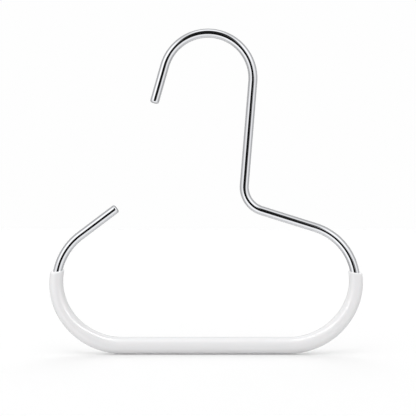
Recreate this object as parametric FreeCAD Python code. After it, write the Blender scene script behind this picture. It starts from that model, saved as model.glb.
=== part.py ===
"""Scarf hanger: one round wire bent into a rail hook and an open loop, with a soft vinyl grip on the loop.

The wire lies in the XZ plane, with +X to the right, +Z up and +Y away from the viewer.
The origin is the centre of the hook's bend, where the axis of a wardrobe rail passes.
Lengths are in millimetres and angles in degrees. Bend radii are to the wire's centreline.
"""

import FreeCAD, Part
import math
import os

# Wire
WIRE_DIAMETER = 4.0
WIRE_END_ROUND = 1.0

# Hook, from its tip over the rail to the neck
HOOK_TIP_RUN = 17.2
HOOK_TIP_LEAN = 15.9
HOOK_BEND_RADIUS = 20.0
LEG_RUN = 46.0
LEG_LEAN = 4.7
NECK_BEND_RADIUS = 11.0

# Closed side of the loop, from the neck down to the bar
SHOULDER_RUN = 25.2
SHOULDER_SLOPE = 17.4
SHOULDER_BEND_RADIUS = 25.35
RIGHT_CORNER_RADIUS = 30.1
RIGHT_CORNER_TURN = 65.9

# Straight bar that the scarf hangs on
BAR_RUN = 74.15

# Open side of the loop, from the bar up to the free end of the wire
LEFT_CORNER_RADIUS = 29.75
LEFT_CORNER_TURN = 54.4
ARM_BEND_RADIUS = 26.3
ARM_SLOPE = 37.0
ARM_RUN = 20.4

# Vinyl grip: thickest on the bar, thinning evenly with height up to its two mouths, where it sits off the
# wire's centre, outwards. The mouths slope down outwards and lean to the viewer
GRIP_BAR_DIAMETER = 7.35
GRIP_MOUTH_DIAMETER = 5.85
GRIP_MOUTH_OFFSET = 0.2
RIGHT_MOUTH_RISE = 10.6
LEFT_MOUTH_RISE = 12.2
MOUTH_SLOPE = 6.5
MOUTH_LEAN = 12.0
MOUTH_LIP_ROUND = 0.55

# Greatest angle between neighbouring cross-sections of the grip
GRIP_STATION_STEP = 9.0

ACROSS = FreeCAD.Vector(0, 1, 0)


def direction(heading):
    """Unit vector in the plane of the wire, at an angle above +X."""
    angle = math.radians(heading)
    return FreeCAD.Vector(math.cos(angle), 0, math.sin(angle))


def ring(centre, heading, radius):
    """Circle about the centreline, square to it, that starts on its far side."""
    along = direction(heading)
    side = along.cross(ACROSS)
    frame = FreeCAD.Matrix(
        ACROSS.x, side.x, along.x, centre.x,
        ACROSS.y, side.y, along.y, centre.y,
        ACROSS.z, side.z, along.z, centre.z,
    )
    circle = Part.makeCircle(radius)
    circle.Placement = FreeCAD.Placement(frame)
    return Part.Wire(circle)


class Run:
    """Straight stretch of the centreline."""

    def __init__(self, start, heading, length):
        self.start = start
        self.heading = heading
        self.length = length
        self.end = start + direction(heading) * length
        self.end_heading = heading

    def rod(self, radius):
        """Solid round bar along this stretch."""
        disc = Part.Face(ring(self.start, self.heading, radius))
        return disc.extrude(self.end - self.start)


class Bend:
    """Arc of the centreline. A positive turn is anticlockwise, seen from the front."""

    def __init__(self, start, heading, radius, turn):
        self.start = start
        self.heading = heading
        self.radius = radius
        self.turn = turn
        self.side = math.copysign(1, turn)
        self.centre = start + direction(heading + self.side * 90) * radius
        self.end = self.point(turn)
        self.end_heading = heading + turn

    def point(self, turned):
        """Point of the centreline after part of the turn."""
        return self.centre - direction(self.heading + turned + self.side * 90) * self.radius

    def rod(self, radius):
        """Solid round bar along this stretch."""
        disc = Part.Face(ring(self.start, self.heading, radius))
        return disc.revolve(self.centre, ACROSS, -self.turn)


def centreline():
    """Runs and bends of the wire by name, from the hook's tip on, each tangent to the one before."""
    tip_heading = 90 - HOOK_TIP_LEAN
    hook_start = direction(tip_heading + 90) * HOOK_BEND_RADIUS
    tip = hook_start - direction(tip_heading) * HOOK_TIP_RUN
    path = {"hook_tip": Run(tip, tip_heading, HOOK_TIP_RUN)}

    def add_run(name, length):
        last = path[list(path)[-1]]
        path[name] = Run(last.end, last.end_heading, length)

    def add_bend(name, radius, turn):
        last = path[list(path)[-1]]
        path[name] = Bend(last.end, last.end_heading, radius, turn)

    add_bend("hook", HOOK_BEND_RADIUS, HOOK_TIP_LEAN - LEG_LEAN - 180)
    add_run("leg", LEG_RUN)
    add_bend("neck", NECK_BEND_RADIUS, 90 + LEG_LEAN - SHOULDER_SLOPE)
    add_run("shoulder", SHOULDER_RUN)
    add_bend("shoulder_bend", SHOULDER_BEND_RADIUS, SHOULDER_SLOPE + RIGHT_CORNER_TURN - 180)
    add_bend("right_corner", RIGHT_CORNER_RADIUS, -RIGHT_CORNER_TURN)
    add_run("bar", BAR_RUN)
    add_bend("left_corner", LEFT_CORNER_RADIUS, -LEFT_CORNER_TURN)
    add_bend("arm_bend", ARM_BEND_RADIUS, ARM_SLOPE + LEFT_CORNER_TURN - 180)
    add_run("arm", ARM_RUN)
    return path


def bent_wire(path):
    """The whole wire as one solid, with its two cut ends rounded."""
    rods = [stretch.rod(WIRE_DIAMETER / 2) for stretch in path.values()]
    wire = rods[0].fuse(rods[1:]).removeSplitter().Solids[0]
    ends = (path["hook_tip"].start, path["arm"].end)
    rims = [edge for edge in wire.Edges if any(is_rim(edge, end) for end in ends)]
    return wire.makeFillet(WIRE_END_ROUND, rims).Solids[0]


def is_rim(edge, centre):
    """True for a full circle about this centre."""
    curve = edge.Curve
    return isinstance(curve, Part.Circle) and curve.Center.isEqual(centre, Part.Precision.approximation())


def grip_side(corner, upper, mouth_turned, bar_level):
    """Outer solid of the grip on one side of the loop, and its mouth's centre.

    The side follows the corner and then the upper bend, both walked away from the bar.
    """
    mouth = upper.point(mouth_turned)

    def section(bend, turned):
        on_wire = bend.point(turned)
        rise = (on_wire.z - bar_level) / (mouth.z - bar_level)
        diameter = GRIP_BAR_DIAMETER + (GRIP_MOUTH_DIAMETER - GRIP_BAR_DIAMETER) * rise
        outward = (on_wire - bend.centre).normalize()
        return ring(on_wire + outward * GRIP_MOUTH_OFFSET * rise ** 2, bend.heading + turned, diameter / 2)

    past_mouth = math.copysign(math.degrees(GRIP_MOUTH_DIAMETER / upper.radius), mouth_turned)
    sections = [section(corner, turned) for turned in stations(corner.turn)]
    sections += [section(upper, turned) for turned in stations(mouth_turned + past_mouth)[1:]]
    return Part.makeLoft(sections, True), mouth


def stations(turn):
    """Angles from zero to the whole turn, evenly spaced."""
    count = math.ceil(abs(turn) / GRIP_STATION_STEP)
    return [turn * index / count for index in range(count + 1)]


def walked_back(bend):
    """The same arc, walked from its end to its start."""
    return Bend(bend.end, bend.end_heading + 180, bend.radius, -bend.turn)


def trim_mouth(side, mouth, heading):
    """The side cut off at its mouth, with a rounded lip. The mouth faces this heading and leans to the viewer."""
    lean = math.radians(MOUTH_LEAN)
    outward = direction(heading) * math.cos(lean) - ACROSS * math.sin(lean)
    cutter_size = GRIP_BAR_DIAMETER * 2
    cutter = Part.makeCylinder(cutter_size, cutter_size, mouth, outward)
    side = side.cut(cutter).Solids[0]
    lips = [edge for edge in side.Edges if lies_on(edge, mouth, outward)]
    return side.makeFillet(MOUTH_LIP_ROUND, lips).Solids[0]


def lies_on(edge, point, normal):
    """True where the whole edge lies in the plane through this point."""
    heights = [(place - point).dot(normal) for place in edge.discretize(5)]
    return max(abs(height) for height in heights) < Part.Precision.approximation()


def grip_sleeve(path, wire):
    """The vinyl grip: a tapering tube round the bar and both corners, with the wire itself as its bore."""
    bar = path["bar"]
    level = bar.start.z
    shoulder = walked_back(path["shoulder_bend"])
    arm = path["arm_bend"]
    right_turned = 90 - RIGHT_CORNER_TURN + RIGHT_MOUTH_RISE
    left_turned = -(90 - LEFT_CORNER_TURN + LEFT_MOUTH_RISE)
    right, right_mouth = grip_side(walked_back(path["right_corner"]), shoulder, right_turned, level)
    left, left_mouth = grip_side(path["left_corner"], arm, left_turned, level)
    right = trim_mouth(right, right_mouth, 90 - MOUTH_SLOPE)
    left = trim_mouth(left, left_mouth, 90 + MOUTH_SLOPE)
    outer = bar.rod(GRIP_BAR_DIAMETER / 2).fuse([right, left])
    return outer.cut(wire).removeSplitter().Solids[0]


def main():
    os.makedirs("parts", exist_ok=True)
    path = centreline()
    wire = bent_wire(path)
    nodes = {"bent_wire": wire, "grip_sleeve": grip_sleeve(path, wire)}
    for name, shape in nodes.items():
        shape.exportStep(f"parts/{name}.step")
        print(f"{name}: {shape.ShapeType}, valid {shape.isValid()}, {shape.Volume:.1f} mm3")


main()
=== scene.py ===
"""Looks of the scarf hanger: plated wire, dipped grip, white studio and camera.

Both pieces are turned as straight blanks and then bent along the wire's centreline, as the wire itself is.
The hanger lies in the XZ plane, with +X to the right, +Z up and +Y away from the viewer.
Lengths are in millimetres, which MM turns to metres, and angles are in degrees.
"""

import math

import bpy
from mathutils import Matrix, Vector


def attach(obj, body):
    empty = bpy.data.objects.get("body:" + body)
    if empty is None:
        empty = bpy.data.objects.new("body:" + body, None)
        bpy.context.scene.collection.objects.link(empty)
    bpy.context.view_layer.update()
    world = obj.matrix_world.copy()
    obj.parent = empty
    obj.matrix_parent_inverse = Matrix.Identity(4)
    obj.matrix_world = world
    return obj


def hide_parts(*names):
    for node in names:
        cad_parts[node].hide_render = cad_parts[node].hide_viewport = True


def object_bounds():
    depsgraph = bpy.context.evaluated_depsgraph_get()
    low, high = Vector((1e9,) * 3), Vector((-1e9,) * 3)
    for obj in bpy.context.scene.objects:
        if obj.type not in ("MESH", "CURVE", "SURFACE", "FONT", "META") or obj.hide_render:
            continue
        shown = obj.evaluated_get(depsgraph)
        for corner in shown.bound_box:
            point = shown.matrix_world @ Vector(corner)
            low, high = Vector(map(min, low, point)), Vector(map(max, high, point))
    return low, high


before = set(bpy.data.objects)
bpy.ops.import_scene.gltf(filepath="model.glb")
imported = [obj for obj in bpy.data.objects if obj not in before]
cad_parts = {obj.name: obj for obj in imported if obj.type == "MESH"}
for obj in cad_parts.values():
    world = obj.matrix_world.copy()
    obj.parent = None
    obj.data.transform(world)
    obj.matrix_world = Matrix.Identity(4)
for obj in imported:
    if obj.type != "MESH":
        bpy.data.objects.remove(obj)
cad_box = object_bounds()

MM = 0.001
UP = Vector((0, 0, 1))
AWAY = Vector((0, 1, 0))

# Wire
WIRE_RADIUS = 2.0
WIRE_END_ROUND = 1.0

# Hook, from its tip over the rail to the neck
HOOK_TIP_RUN = 17.2
HOOK_TIP_LEAN = 15.9
HOOK_BEND_RADIUS = 20.0
LEG_RUN = 46.0
LEG_LEAN = 4.7
NECK_BEND_RADIUS = 11.0

# Closed side of the loop, from the neck down to the bar
SHOULDER_RUN = 25.2
SHOULDER_SLOPE = 17.4
SHOULDER_BEND_RADIUS = 25.35
RIGHT_CORNER_RADIUS = 30.1
RIGHT_CORNER_TURN = 65.9

# Bar, and the open side of the loop up to the free end of the wire
BAR_RUN = 74.15
LEFT_CORNER_RADIUS = 29.75
LEFT_CORNER_TURN = 54.4
ARM_BEND_RADIUS = 26.3
ARM_SLOPE = 37.0
ARM_RUN = 20.4

# Grip: thickest on the bar, thinning evenly with height up to its two mouths, which slope and lean. The tilt
# of a mouth fades out over a short stretch of the grip below it
GRIP_BAR_RADIUS = 3.675
GRIP_MOUTH_RADIUS = 2.925
GRIP_MOUTH_OFFSET = 0.2
RIGHT_MOUTH_RISE = 10.6
LEFT_MOUTH_RISE = 12.2
MOUTH_SLOPE = 6.5
MOUTH_LEAN = 12.0
MOUTH_LIP_ROUND = 0.55
MOUTH_TILT_FADE = 8.0

# How finely the meshes follow the shape, and the angle from which an edge stays sharp
RING_PITCH = 0.5
BORE_PITCH = 2.0
RING_SIDES = 64
ROUND_STEPS = 8
BEND_PART = 45.0
LINE_POINTS_PER_PART = 64
SHARP_EDGE = 50.0


def bend(radius, turn):
    """Length and turn of a bend of the wire."""
    return radius * math.radians(abs(turn)), turn


# The wire walked from the hook's tip to its free end: the length of each stretch, and its turn, which is
# anticlockwise where it is positive, seen from the front
STRETCHES = {
    "hook_tip": (HOOK_TIP_RUN, 0),
    "hook": bend(HOOK_BEND_RADIUS, HOOK_TIP_LEAN - LEG_LEAN - 180),
    "leg": (LEG_RUN, 0),
    "neck": bend(NECK_BEND_RADIUS, 90 + LEG_LEAN - SHOULDER_SLOPE),
    "shoulder": (SHOULDER_RUN, 0),
    "shoulder_bend": bend(SHOULDER_BEND_RADIUS, SHOULDER_SLOPE + RIGHT_CORNER_TURN - 180),
    "right_corner": bend(RIGHT_CORNER_RADIUS, -RIGHT_CORNER_TURN),
    "bar": (BAR_RUN, 0),
    "left_corner": bend(LEFT_CORNER_RADIUS, -LEFT_CORNER_TURN),
    "arm_bend": bend(ARM_BEND_RADIUS, ARM_SLOPE + LEFT_CORNER_TURN - 180),
    "arm": (ARM_RUN, 0),
}
WIRE_LENGTH = sum(length for length, turn in STRETCHES.values())


def linear(hex_colour):
    """Linear colour of an sRGB hex value, by that standard's own curve."""
    levels = [int(hex_colour[place:place + 2], 16) / 255 for place in (1, 3, 5)]
    return [c / 12.92 if c <= 0.04045 else ((c + 0.055) / 1.055) ** 2.4 for c in levels] + [1]


def add(tree, kind, inputs=None, **settings):
    """A new node with its settings, each input, by name or number, given a value or linked to an output."""
    node = tree.nodes.new(kind)
    for name, value in settings.items():
        setattr(node, name, value)
    for socket, value in (inputs or {}).items():
        if isinstance(value, bpy.types.NodeSocket):
            tree.links.new(value, node.inputs[socket])
        else:
            node.inputs[socket].default_value = value
    return node


def new_material(name):
    """A new material, and its empty node tree."""
    material = bpy.data.materials.new(name)
    material.use_nodes = True
    material.node_tree.nodes.clear()
    return material, material.node_tree


def put(name, data):
    """A new object of the scene."""
    thing = bpy.data.objects.new(name, data)
    bpy.context.scene.collection.objects.link(thing)
    return thing


def flat_sheet(name, rim, material):
    """A new flat object of the scene, given by the points of its rim."""
    mesh = bpy.data.meshes.new(name)
    mesh.from_pydata(rim, [], [range(len(rim))])
    mesh.materials.append(material)
    return put(name, mesh)


def per(size):
    """How many repeats of a pattern of this real size go into a metre."""
    return 1 / (size * MM)


def heading_vector(heading):
    """Unit vector in the plane of the wire, at an angle above +X."""
    angle = math.radians(heading)
    return Vector((math.cos(angle), 0, math.sin(angle)))


def toward(bearing, height):
    """Unit vector from the hanger at a bearing, to the right from the camera's side, and a height."""
    bearing, height = math.radians(bearing), math.radians(height)
    level = Vector((math.sin(bearing), -math.cos(bearing), 0))
    return level * math.cos(height) + UP * math.sin(height)


def stepped(point, heading, length, turn):
    """Where a stretch that starts here ends."""
    half = math.radians(turn) / 2
    straight = length * math.sin(half) / half if turn else length
    return point + heading_vector(heading + turn / 2) * straight


def walk():
    """Start, heading, length and turn of each stretch of the wire."""
    heading = 90 - HOOK_TIP_LEAN
    point = heading_vector(heading + 90) * HOOK_BEND_RADIUS - heading_vector(heading) * HOOK_TIP_RUN
    for length, turn in STRETCHES.values():
        yield point, heading, length, turn
        point = stepped(point, heading, length, turn)
        heading += turn


def place_on_wire(along):
    """Point and heading of the centreline at this distance from the hook's tip."""
    for point, heading, length, turn in walk():
        if along <= length:
            break
        along -= length
    turned = turn * along / length
    return stepped(point, heading, along, turned), heading + turned


def distance_to(name):
    """Distance along the wire from the hook's tip to the start of a stretch."""
    names = list(STRETCHES)
    return sum(STRETCHES[before][0] for before in names[:names.index(name)])


def handle_reach(length, turn):
    """Length of the two handles with which a Bezier span follows a stretch."""
    angle = math.radians(abs(turn))
    return 4 / 3 * math.tan(angle / 4) * length / angle if turn else length / 3


def wire_centreline():
    """The wire's centreline as one curve, with bends of up to BEND_PART between its points."""
    spans = []
    for point, heading, length, turn in walk():
        parts = max(1, math.ceil(abs(turn) / BEND_PART))
        length, turn = length / parts, turn / parts
        reach = handle_reach(length, turn)
        for _ in range(parts):
            start, point = point, stepped(point, heading, length, turn)
            handle_out = start + heading_vector(heading) * reach
            heading += turn
            handle_in = point - heading_vector(heading) * reach
            spans.append((start, handle_out, handle_in, point))
    curve = bpy.data.curves.new("wire_centreline", "CURVE")
    curve.dimensions = "3D"
    spline = curve.splines.new("BEZIER")
    spline.bezier_points.add(len(spans))
    spline.resolution_u = LINE_POINTS_PER_PART
    for knot in spline.bezier_points:
        knot.handle_left_type = knot.handle_right_type = "FREE"
    for (start, handle_out, handle_in, end), first, last in zip(
        spans, spline.bezier_points, spline.bezier_points[1:]
    ):
        first.co, first.handle_right = start * MM, handle_out * MM
        last.co, last.handle_left = end * MM, handle_in * MM
    return put("wire_centreline", curve)


def evenly(start, end, pitch):
    """Places from start to end, both included, about a pitch apart."""
    count = math.ceil(abs(end - start) / pitch)
    return [start + (end - start) * step / count for step in range(count + 1)]


def rounded_end(radius, rounding):
    """Distance in from an end, and radius there, over the end's rounding, from its flat face on."""
    angles = [math.pi / 2 * step / ROUND_STEPS for step in range(ROUND_STEPS + 1)]
    return [(rounding * (1 - math.cos(a)), radius - rounding * (1 - math.sin(a))) for a in angles]


def wire_rings():
    """Place along, radius, offset and tilt of each ring of the straight wire, with its cut ends rounded."""
    tip = rounded_end(WIRE_RADIUS, WIRE_END_ROUND)
    free_end = [(WIRE_LENGTH - inward, radius) for inward, radius in reversed(tip)]
    middle = evenly(WIRE_END_ROUND, WIRE_LENGTH - WIRE_END_ROUND, RING_PITCH)[1:-1]
    rings = tip + [(along, WIRE_RADIUS) for along in middle] + free_end
    return [(along, radius, 0, (0, 0)) for along, radius in rings]


def mouths():
    """Distances along the wire of the grip's right and left mouths."""
    right_turned = 90 - RIGHT_CORNER_TURN + RIGHT_MOUTH_RISE
    left_turned = 90 - LEFT_CORNER_TURN + LEFT_MOUTH_RISE
    right = distance_to("right_corner") - bend(SHOULDER_BEND_RADIUS, right_turned)[0]
    left = distance_to("arm_bend") + bend(ARM_BEND_RADIUS, left_turned)[0]
    return right, left


def grip_rings():
    """Place along, radius, offset and tilt of each ring of the straight grip: its outside, then its bore."""
    right, left = mouths()
    bar_level = place_on_wire(distance_to("bar"))[0].z
    middle = (left + right) / 2

    def rise(along):
        """Height above the bar as a share of the mouth's height on this side."""
        mouth = right if along < middle else left
        return (place_on_wire(along)[0].z - bar_level) / (place_on_wire(mouth)[0].z - bar_level)

    def outer_radius(along):
        """Radius of the outside, apart from the lips' rounding."""
        return GRIP_BAR_RADIUS + (GRIP_MOUTH_RADIUS - GRIP_BAR_RADIUS) * rise(along)

    def offset(along):
        """How far the outside lies off the wire's centre, outwards."""
        return GRIP_MOUTH_OFFSET * rise(along) ** 2

    def tilt(along):
        """How steeply a ring is tilted aside and across, full at a mouth and fading smoothly below it."""
        near = max(0, 1 - min(along - right, left - along) / MOUTH_TILT_FADE)
        side, turned = (-1, RIGHT_MOUTH_RISE) if along < middle else (1, LEFT_MOUTH_RISE)
        slope, lean = math.radians(turned + MOUTH_SLOPE), math.radians(MOUTH_LEAN)
        share = side * near * near * (3 - 2 * near)
        return -share * math.tan(slope), share * math.tan(lean) / math.cos(slope)

    lip = rounded_end(0, MOUTH_LIP_ROUND)
    right_lip = [(right + inward, outer_radius(right + inward) + thinner) for inward, thinner in lip]
    left_lip = [(left - inward, outer_radius(left - inward) + thinner) for inward, thinner in reversed(lip)]
    outside = evenly(right + MOUTH_LIP_ROUND, left - MOUTH_LIP_ROUND, RING_PITCH)[1:-1]
    outside = right_lip + [(along, outer_radius(along)) for along in outside] + left_lip
    rings = [(along, radius, offset(along), tilt(along)) for along, radius in outside]
    return rings + [(along, WIRE_RADIUS, 0, tilt(along)) for along in evenly(left, right, BORE_PITCH)]


def turned_blank(name, rings, closed):
    """Straight piece turned about +X from its rings.

    Where it is closed, its last ring meets its first, and otherwise it has flat ends.
    """
    angles = [2 * math.pi * side / RING_SIDES for side in range(RING_SIDES)]
    points = []
    for along, radius, offset, (tilt_aside, tilt_across) in rings:
        for angle in angles:
            aside, across = offset + radius * math.cos(angle), radius * math.sin(angle)
            tilted = along + tilt_aside * aside + tilt_across * across
            points.append((tilted * MM, across * MM, aside * MM))
    ring_starts = [number * RING_SIDES for number in range(len(rings))]
    pairs = list(zip(ring_starts, ring_starts[1:]))
    if closed:
        pairs.append((ring_starts[-1], ring_starts[0]))
    faces = []
    for near, far in pairs:
        for side in range(RING_SIDES):
            after = (side + 1) % RING_SIDES
            faces.append((near + side, far + side, far + after, near + after))
    if not closed:
        faces.append(range(RING_SIDES))
        faces.append(range(len(points) - 1, ring_starts[-1] - 1, -1))
    mesh = bpy.data.meshes.new(name)
    mesh.from_pydata(points, [], faces)
    mesh.shade_smooth()
    mesh.set_sharp_from_angle(angle=math.radians(SHARP_EDGE))
    return put(name, mesh)


# Attribute that keeps each point's place on the straight blank, which the finishes follow
UNBENT_PLACE = "unbent"


def bending_tree():
    """Node tree that bends a straight blank along a centreline and keeps each point's unbent place."""
    tree = bpy.data.node_groups.new("bend_along_centreline", "GeometryNodeTree")
    tree.interface.new_socket("Blank", in_out="INPUT", socket_type="NodeSocketGeometry")
    tree.interface.new_socket("Centreline", in_out="INPUT", socket_type="NodeSocketObject")
    tree.interface.new_socket("Finish", in_out="INPUT", socket_type="NodeSocketMaterial")
    tree.interface.new_socket("Piece", in_out="OUTPUT", socket_type="NodeSocketGeometry")
    given = add(tree, "NodeGroupInput").outputs
    line = add(tree, "GeometryNodeObjectInfo", {"Object": given["Centreline"]}).outputs["Geometry"]
    unbent = add(tree, "GeometryNodeInputPosition").outputs["Position"]
    split = add(tree, "ShaderNodeSeparateXYZ", {"Vector": unbent}).outputs
    kept = add(
        tree, "GeometryNodeStoreNamedAttribute",
        {"Geometry": given["Blank"], "Name": UNBENT_PLACE, "Value": unbent},
        data_type="FLOAT_VECTOR", domain="POINT",
    ).outputs["Geometry"]
    on_line = add(
        tree, "GeometryNodeSampleCurve", {"Curves": line, "Length": split["X"]}, mode="LENGTH"
    ).outputs
    side = add(
        tree, "ShaderNodeVectorMath", {0: on_line["Tangent"], 1: AWAY}, operation="CROSS_PRODUCT"
    ).outputs["Vector"]
    aside = add(
        tree, "ShaderNodeVectorMath", {0: side, "Scale": split["Z"]}, operation="SCALE"
    ).outputs["Vector"]
    across = add(tree, "ShaderNodeCombineXYZ", {"Y": split["Y"]}).outputs["Vector"]
    offset = add(tree, "ShaderNodeVectorMath", {0: aside, 1: across}, operation="ADD").outputs["Vector"]
    bent_place = add(
        tree, "ShaderNodeVectorMath", {0: on_line["Position"], 1: offset}, operation="ADD"
    ).outputs["Vector"]
    piece = add(
        tree, "GeometryNodeSetPosition", {"Geometry": kept, "Position": bent_place}
    ).outputs["Geometry"]
    piece = add(tree, "GeometryNodeRealizeInstances", {"Geometry": piece}).outputs["Geometry"]
    piece = add(tree, "GeometryNodeSetMaterial", {"Geometry": piece, "Material": given["Finish"]})
    add(tree, "NodeGroupOutput", {"Piece": piece.outputs["Geometry"]})
    return tree


def bent(blank, tree, line, finish):
    """The blank bent along the centreline, as a plain mesh."""
    modifier = blank.modifiers.new("bending", "NODES")
    modifier.node_group = tree
    sockets = {item.name: item.identifier for item in tree.interface.items_tree}
    modifier[sockets["Centreline"]] = line
    modifier[sockets["Finish"]] = finish
    shown = blank.evaluated_get(bpy.context.evaluated_depsgraph_get())
    mesh = bpy.data.meshes.new_from_object(shown)
    blank.modifiers.remove(modifier)
    blank.data = mesh
    return blank


# Part of its range that a noise pattern mostly keeps to
NOISE_LOW = 0.3
NOISE_HIGH = 0.7

# Chrome plate. The hair lines from drawing the wire are 0.05 mm wide on the real one, and drawn wider here
# so that they show. The wire is never quite even under its plate, so reflections waver over a few
# millimetres
PLATE_COLOUR = "#D6D7D9"
PLATE_ROUGHNESS = (0.02, 0.05)
HAIR_LINE_LENGTH = 30
HAIR_LINE_WIDTH = 0.4
HAIR_LINE_DETAIL = 3
WAVER_LENGTH = 7
WAVER_WIDTH = 3
WAVER_DEPTH = 0.012
WAVER_DETAIL = 1


def bright_chrome_plate():
    """Bright chromium plate on drawn steel wire.

    A cool mirror that wavers a little, with hair lines along the wire.
    """
    material, tree = new_material("bright_chrome_plate_on_drawn_wire")
    unbent = add(tree, "ShaderNodeAttribute", attribute_name=UNBENT_PLACE).outputs["Vector"]
    hair_scale = (per(HAIR_LINE_LENGTH), per(HAIR_LINE_WIDTH), per(HAIR_LINE_WIDTH))
    hairs = add(tree, "ShaderNodeMapping", {"Vector": unbent, "Scale": hair_scale}).outputs["Vector"]
    hairs = add(
        tree, "ShaderNodeTexNoise", {"Vector": hairs, "Scale": 1, "Detail": HAIR_LINE_DETAIL}
    ).outputs["Fac"]
    smooth, rough = PLATE_ROUGHNESS
    roughness = add(
        tree, "ShaderNodeMapRange",
        {"Value": hairs, "From Min": NOISE_LOW, "From Max": NOISE_HIGH, "To Min": smooth, "To Max": rough},
    ).outputs["Result"]
    waver_scale = (per(WAVER_LENGTH), per(WAVER_WIDTH), per(WAVER_WIDTH))
    waver = add(tree, "ShaderNodeMapping", {"Vector": unbent, "Scale": waver_scale}).outputs["Vector"]
    waver = add(
        tree, "ShaderNodeTexNoise", {"Vector": waver, "Scale": 1, "Detail": WAVER_DETAIL}
    ).outputs["Fac"]
    normal = add(tree, "ShaderNodeBump", {"Height": waver, "Distance": WAVER_DEPTH * MM}).outputs["Normal"]
    shader = add(
        tree, "ShaderNodeBsdfPrincipled",
        {"Base Color": linear(PLATE_COLOUR), "Metallic": 1, "Roughness": roughness, "Normal": normal},
    )
    add(tree, "ShaderNodeOutputMaterial", {"Surface": shader.outputs["BSDF"]})
    return material


# Vinyl coat: faint clouds in its colour and gloss, the sags of the liquid coat, and the light that goes into
# it, with its depth and the shares of that depth for red, green and blue
COAT_COLOURS = ("#EEEDED", "#F0F0F0")
COAT_ROUGHNESS = (0.06, 0.1)
COAT_IOR = 1.53
CLOUD_SIZE = 14
CLOUD_DETAIL = 2
SAG_SIZE = 5
SAG_DEPTH = 0.01
SAG_DETAIL = 1
GLOW_SHARE = 0.15
GLOW_DEPTH = 0.8
GLOW_DEPTH_SHARES = (1, 0.9, 0.85)

# Numbers of a Mix node's colour sockets, whose names its other sockets have too
MIX_FIRST_COLOUR = 6
MIX_SECOND_COLOUR = 7
MIX_RESULT_COLOUR = 2


def dipped_white_vinyl():
    """Soft white PVC, dipped and fused: a smooth satin gloss with faint sags, lit a little from within."""
    material, tree = new_material("dipped_white_soft_vinyl")
    unbent = add(tree, "ShaderNodeAttribute", attribute_name=UNBENT_PLACE).outputs["Vector"]
    cloud = add(
        tree, "ShaderNodeTexNoise", {"Vector": unbent, "Scale": per(CLOUD_SIZE), "Detail": CLOUD_DETAIL}
    ).outputs["Fac"]
    dull, bright = COAT_COLOURS
    colour = add(
        tree, "ShaderNodeMix",
        {"Factor": cloud, MIX_FIRST_COLOUR: linear(dull), MIX_SECOND_COLOUR: linear(bright)},
        data_type="RGBA",
    ).outputs[MIX_RESULT_COLOUR]
    smooth, rough = COAT_ROUGHNESS
    roughness = add(
        tree, "ShaderNodeMapRange",
        {"Value": cloud, "From Min": NOISE_LOW, "From Max": NOISE_HIGH, "To Min": smooth, "To Max": rough},
    ).outputs["Result"]
    sags = add(
        tree, "ShaderNodeTexNoise", {"Vector": unbent, "Scale": per(SAG_SIZE), "Detail": SAG_DETAIL}
    ).outputs["Fac"]
    normal = add(tree, "ShaderNodeBump", {"Height": sags, "Distance": SAG_DEPTH * MM}).outputs["Normal"]
    shader = add(
        tree, "ShaderNodeBsdfPrincipled",
        {
            "Base Color": colour,
            "Roughness": roughness,
            "Normal": normal,
            "IOR": COAT_IOR,
            "Subsurface Weight": GLOW_SHARE,
            "Subsurface Radius": GLOW_DEPTH_SHARES,
            "Subsurface Scale": GLOW_DEPTH * MM,
        },
    )
    add(tree, "ShaderNodeOutputMaterial", {"Surface": shader.outputs["BSDF"]})
    return material


# What reflections show of the white studio: a base brightness, and round soft zones drawn over it and over
# each other in turn. Each zone has the bearing and height of its middle, its half width, the softness of its
# edge and its brightness
STUDIO_BASE = 0.52
STUDIO_ZONES = {
    "front_wall": ((0, 0), 85, 40, 1.28),
    "back_wall": ((180, 5), 48, 10, 0.85),
    "back_floor": ((180, -65), 38, 20, 0.9),
    "lower_left_wall": ((-35, -28), 23, 10, 1.5),
    "left_softbox": ((-45, 27), 17, 5, 1.7),
    "right_softbox": ((42, 34), 15, 6, 1.6),
    "overhead_panel": ((0, 78), 19, 6, 1.5),
    "around_camera": ((0, 0), 31.5, 12, 1.0),
    "overhead_gap": ((0.5, 37), 20, 5, 0.02),
    "right_gap": ((29, -1), 9, 5, 0.12),
    "back_opening": ((180, 0), 24, 5, 0.02),
}

# What lights the coat and the floor, and shows in no reflection: a base brightness, and broad soft lights
# and a shade that add to it, given as the zones are
LIGHT_BASE = 0.57
LIGHT_ZONES = {
    "front_high_light": ((0, 50), 35, 30, 1.07),
    "top_light": ((0, 90), 35, 30, 0.25),
    "front_left_light": ((-50, 0), 35, 30, 0.45),
    "left_light": ((-90, 15), 40, 35, 0.15),
    "right_shade": ((60, 0), 40, 35, -0.2),
    "back_light": ((180, 38), 22, 8, 0.75),
    "low_back_light": ((180, 28), 16, 8, 1.1),
    "back_glow": ((180, 15), 30, 25, 0.9),
}

# Tint of all that light, and the backdrop that the camera sees
STUDIO_COLOUR = "#FDFDFE"
BACKDROP_COLOUR = "#FEFEFE"


def chord(angle):
    """Distance between two places on a unit sphere that lie an angle apart."""
    return 2 * math.sin(math.radians(angle) / 2)


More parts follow.
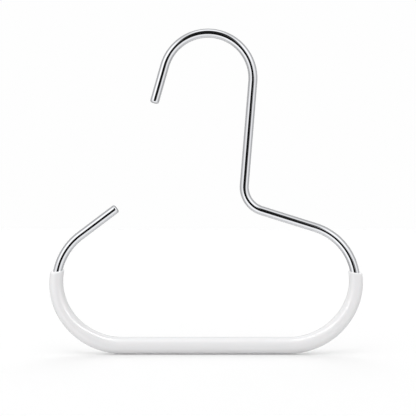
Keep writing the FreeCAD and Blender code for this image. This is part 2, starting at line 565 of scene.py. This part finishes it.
def white_studio():
    """White surroundings: zones for reflections, broad lights for the rest, and a plain backdrop."""
    world = bpy.data.worlds.new("white_studio")
    world.use_nodes = True
    bpy.context.scene.world = world
    tree = world.node_tree
    tree.nodes.clear()
    direction = add(tree, "ShaderNodeTexCoord").outputs["Generated"]
    ray = add(tree, "ShaderNodeLightPath").outputs

    def inside(place, half_width, edge):
        """One within a zone and zero outside it, with a smooth change over its edge."""
        apart = add(
            tree, "ShaderNodeVectorMath", {0: direction, 1: toward(*place)}, operation="DISTANCE"
        ).outputs["Value"]
        return add(
            tree, "ShaderNodeMapRange",
            {"Value": apart, "From Min": chord(half_width + edge), "From Max": chord(half_width - edge)},
            interpolation_type="SMOOTHSTEP",
        ).outputs["Result"]

    mirrored = STUDIO_BASE
    for *shape, brightness in STUDIO_ZONES.values():
        mirrored = add(
            tree, "ShaderNodeMix", {"Factor": inside(*shape), "A": mirrored, "B": brightness}
        ).outputs["Result"]
    cast = LIGHT_BASE
    for *shape, brightness in LIGHT_ZONES.values():
        cast = add(
            tree, "ShaderNodeMath", {0: inside(*shape), 1: brightness, 2: cast}, operation="MULTIPLY_ADD"
        ).outputs["Value"]
    light = add(
        tree, "ShaderNodeMix", {"Factor": ray["Is Glossy Ray"], "A": cast, "B": mirrored}
    ).outputs["Result"]
    studio = add(tree, "ShaderNodeBackground", {"Color": linear(STUDIO_COLOUR), "Strength": light})
    backdrop = add(tree, "ShaderNodeBackground", {"Color": linear(BACKDROP_COLOUR)})
    shown = add(
        tree, "ShaderNodeMixShader",
        {0: ray["Is Camera Ray"], 1: studio.outputs["Background"], 2: backdrop.outputs["Background"]},
    )
    add(tree, "ShaderNodeOutputWorld", {"Surface": shown.outputs["Shader"]})


# Camera: level and square to the hanger, its place measured from the centre of the hook's bend
CAMERA_PLACE = Vector((0.02, -513.6, -57.72))
CAMERA_LENS = 100
CAMERA_SENSOR = 36


def camera():
    """Camera in front of the hanger."""
    lens = bpy.data.cameras.new("camera")
    lens.lens = CAMERA_LENS
    lens.sensor_width = CAMERA_SENSOR
    eye = put("camera", lens)
    eye.location = CAMERA_PLACE * MM
    eye.rotation_euler = (math.radians(90), 0, 0)
    bpy.context.scene.camera = eye


# Card about the lens: its radius, where its middle lies from the lens, the count of its sides, and how
# bright it is
CARD_RADIUS = 264
CARD_MIDDLE = Vector((-44, -10, 9))
CARD_SIDES = 64
CARD_BRIGHTNESS = 0.01


def camera_card():
    """Round black card about the lens, which shows only in reflections."""
    material, tree = new_material("matt_black_card")
    shader = add(tree, "ShaderNodeEmission", {"Strength": CARD_BRIGHTNESS})
    add(tree, "ShaderNodeOutputMaterial", {"Surface": shader.outputs["Emission"]})
    middle = CAMERA_PLACE + CARD_MIDDLE
    angles = evenly(0, 360, 360 / CARD_SIDES)[:-1]
    rim = [(middle + heading_vector(angle) * CARD_RADIUS) * MM for angle in angles]
    card = flat_sheet("camera_card", rim, material)
    card.visible_camera = card.visible_diffuse = card.visible_shadow = False


# Small spotlights: how far they stand from what they light, and how soft the rim of their beam is
SPOT_DISTANCE = 150
SPOT_SOFTNESS = 0.5

# Row of spotlights over the inside of each lower corner, whose gleams join to one thin streak. The row's
# start, end and pitch are measured along the wire from the bar. The first value of a pair holds where the
# coat's inside faces up by the first angle or less, and the second where it does by the second angle or
# more: the gleam's place, as a share of the way from the coat's front to its inside, and the power in watts
GLEAM_START = 4.0
GLEAM_END = 34.0
GLEAM_PITCH = 1.5
GLEAM_LAMP_RADIUS = 10
GLEAM_BEAM = 11.5
GLEAM_FACINGS = (45, 62)
GLEAM_SHARES = (0.48, 0.68)
GLEAM_POWERS = (0.013, 0.024)

# Spotlight over each mouth of the grip, so narrow that little of it reaches the floor. Its power is in watts
LIP_LAMP_RADIUS = 1
LIP_BEAM = 2.4
LIP_POWER = 0.3


def spotlight(name, place, away, lamp_radius, beam, power):
    """Small spotlight that stands off from a place and shines back at it."""
    lamp = bpy.data.lights.new(name, "SPOT")
    lamp.spot_size = math.radians(beam)
    lamp.spot_blend = SPOT_SOFTNESS
    lamp.shadow_soft_size = lamp_radius * MM
    lamp.energy = power
    light = put(name, lamp)
    light.location = (place + away * SPOT_DISTANCE) * MM
    light.rotation_euler = away.to_track_quat("Z", "Y").to_euler()
    light.visible_camera = False
    return light


def gleam_spot(along):
    """Spotlight that only gleams, on the inside of the grip at this distance along the wire."""
    middle, heading = place_on_wire(along)
    inward = heading_vector(heading - 90)
    least, most = GLEAM_FACINGS
    facing = math.degrees(math.asin(inward.z))
    upward = min(1, max(0, (facing - least) / (most - least)))
    share, power = (first + (last - first) * upward for first, last in (GLEAM_SHARES, GLEAM_POWERS))
    normal = inward * share - AWAY * math.sqrt(1 - share * share)
    place = middle + normal * GRIP_BAR_RADIUS
    away = (place - CAMERA_PLACE).normalized().reflect(normal)
    light = spotlight("gleam_spot", place, away, GLEAM_LAMP_RADIUS, GLEAM_BEAM, power)
    light.visible_diffuse = False


def lip_spot(along):
    """Spotlight from straight above that lightens the mouth's lip, at this distance along the wire."""
    middle = place_on_wire(along)[0]
    light = spotlight("lip_spot", middle, UP, LIP_LAMP_RADIUS, LIP_BEAM, LIP_POWER)
    light.visible_glossy = False


# Floor: how far it reaches, and how far it lies below the bar, which leaves a dark line between the two.
# What it bounces onto the hanger is darker than what the camera sees of it
FLOOR_HALF_SIZE = 3000
FLOOR_GAP = 0.22
FLOOR_BOUNCED = "#DDDDDD"
FLOOR_SEEN = "#F4F4F3"


def white_floor():
    """Plain white floor under the bar, which shows in no reflection."""
    material, tree = new_material("matt_white_floor")
    ray = add(tree, "ShaderNodeLightPath").outputs
    bounced = add(tree, "ShaderNodeBsdfDiffuse", {"Color": linear(FLOOR_BOUNCED)})
    seen = add(tree, "ShaderNodeBsdfDiffuse", {"Color": linear(FLOOR_SEEN)})
    shader = add(
        tree, "ShaderNodeMixShader",
        {0: ray["Is Camera Ray"], 1: bounced.outputs["BSDF"], 2: seen.outputs["BSDF"]},
    )
    add(tree, "ShaderNodeOutputMaterial", {"Surface": shader.outputs["Shader"]})
    level = cad_box[0].z - FLOOR_GAP * MM
    half = FLOOR_HALF_SIZE * MM
    corners = [(-half, -half, level), (half, -half, level), (half, half, level), (-half, half, level)]
    floor = flat_sheet("floor", corners, material)
    floor.visible_glossy = False


def dress(piece, node):
    """Puts a finished piece in its node's place."""
    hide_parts(node)
    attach(piece, "root")


line = wire_centreline()
tree = bending_tree()
wire = bent(turned_blank("plated_wire", wire_rings(), closed=False), tree, line, bright_chrome_plate())
grip = bent(turned_blank("dipped_grip", grip_rings(), closed=True), tree, line, dipped_white_vinyl())
bpy.data.objects.remove(line)
dress(wire, "bent_wire")
dress(grip, "grip_sleeve")
white_studio()
for along in evenly(GLEAM_START, GLEAM_END, GLEAM_PITCH):
    gleam_spot(distance_to("bar") - along)
    gleam_spot(distance_to("left_corner") + along)
for mouth in mouths():
    lip_spot(mouth)
white_floor()
camera()
camera_card()
# Colours reach the picture as they are, with no film curve
bpy.context.scene.view_settings.view_transform = "Standard"
